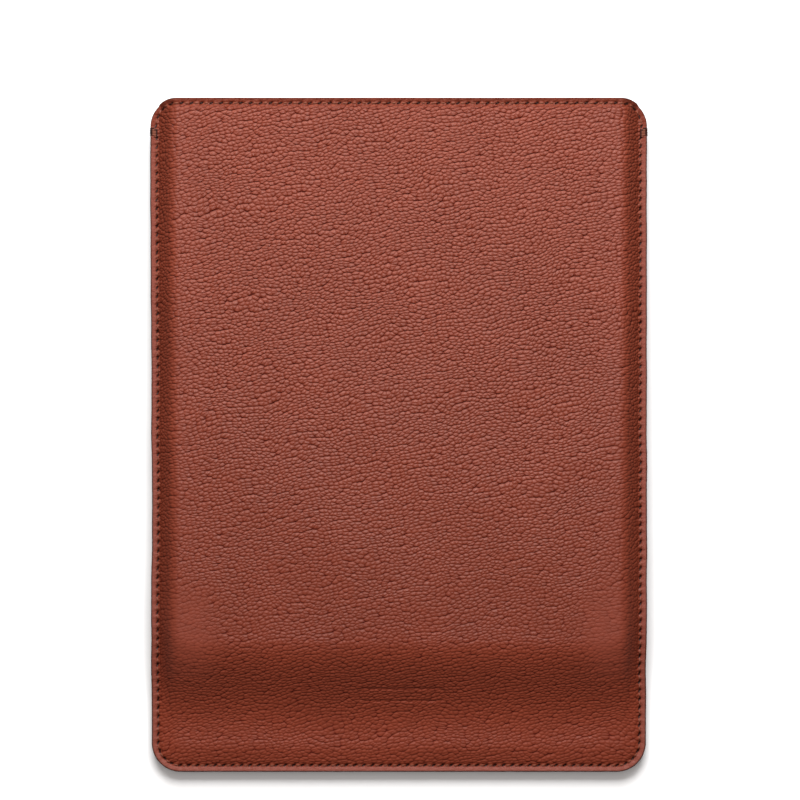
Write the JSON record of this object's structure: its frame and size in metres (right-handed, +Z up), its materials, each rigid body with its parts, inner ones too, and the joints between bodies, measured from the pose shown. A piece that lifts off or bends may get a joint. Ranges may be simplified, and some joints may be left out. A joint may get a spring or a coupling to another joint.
{
  "type": "laptop sleeve",
  "caption": "Slim leather laptop sleeve with a felt lining, stitched on three sides and open at the mouth, lying flat with its pocket held open.",
  "frame": {"origin": "centre of the bounding box's underside, on the surface that the back panel lies on", "axes": "+X across the sleeve, +Y towards the mouth, +Z up, out of the front panel"},
  "size_m": [0.2298, 0.311, 0.0229],
  "materials": {
    "leather": "cognac red-brown pebbled leather, satin",
    "felt": "grey wool felt, matt",
    "thread": "waxed brown polyester thread, satin"
  },
  "bodies": {
    "sleeve": {"front_leather_panel": "leather", "front_felt_lining": "felt", "back_felt_lining": "felt", "back_leather_panel": "leather", "seam_needle_thread": "thread", "seam_bobbin_thread": "thread", "back_mouth_needle_thread": "thread", "back_mouth_bobbin_thread": "thread", "left_bar_tack": "thread", "right_bar_tack": "thread"},
    "front_lip": {"front_leather_lip": "leather", "front_felt_lip": "felt", "front_mouth_needle_thread": "thread", "front_mouth_bobbin_thread": "thread"}
  },
  "joints": [
    {"name": "front_lip_flex", "type": "hinge", "parent": "sleeve", "child": "front_lip", "pos_m": [0, 0.1432, 0.0204], "axis": [1, 0, 0], "range_deg": [0, 20], "stiffness_Nm_per_rad": 0.2}
  ]
}
